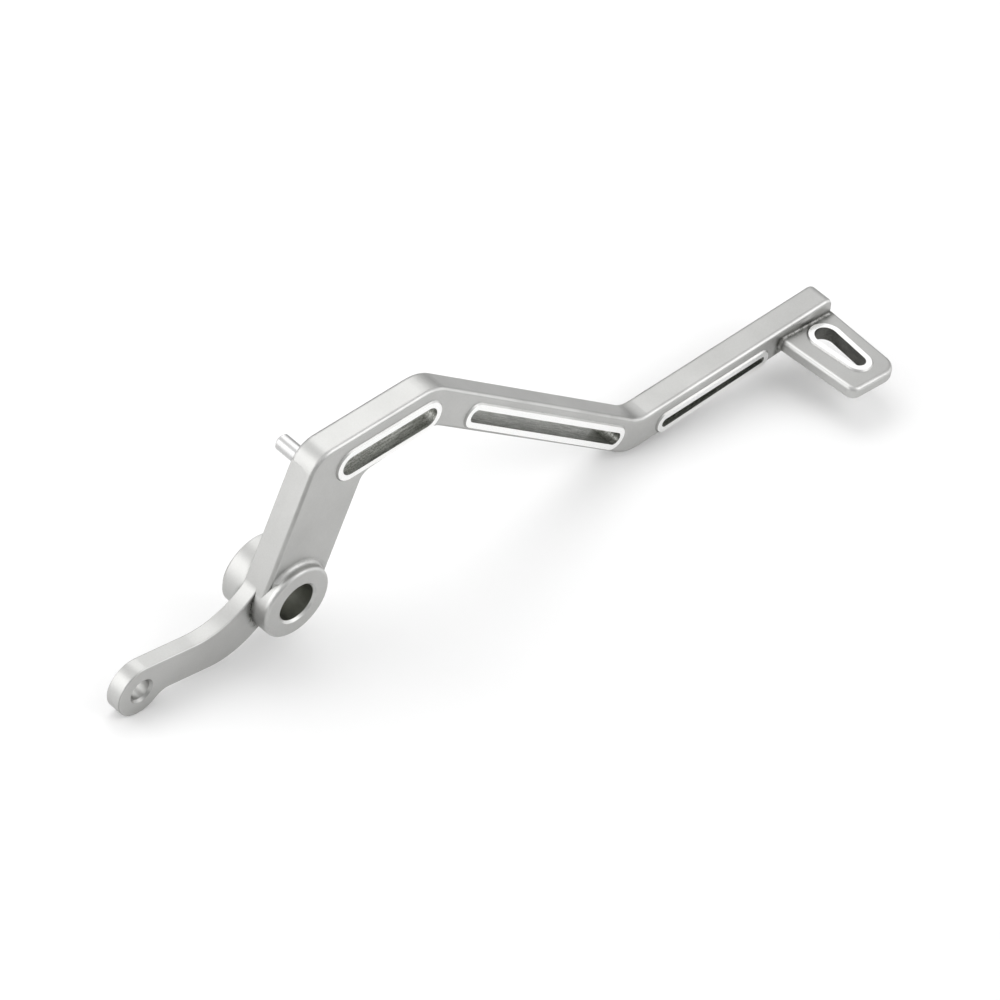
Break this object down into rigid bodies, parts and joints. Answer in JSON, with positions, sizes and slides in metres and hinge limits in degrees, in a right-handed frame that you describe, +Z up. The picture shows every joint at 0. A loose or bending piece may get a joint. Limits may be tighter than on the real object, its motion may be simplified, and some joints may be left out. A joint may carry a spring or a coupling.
{
  "type": "rear brake pedal",
  "caption": "Cranked cast aluminium rear brake pedal for a motorbike: pivot hub, push-rod lever with an eye, slotted arm with raised lips, toe plate and a steel spring pin.",
  "frame": {"origin": "on the pivot axis, in the middle of the arm's thickness", "axes": "+X forward to the toe, +Z up, -Y outboard, with Y along the pivot axis"},
  "size_m": [0.2728, 0.0493, 0.0714],
  "materials": {
    "cast_aluminium": "satin blasted casting with milled lips",
    "pin_steel": "ground bright"
  },
  "bodies": {
    "root": {"pedal_body": "cast_aluminium", "spring_pin": "pin_steel"}
  },
  "joints": []
}
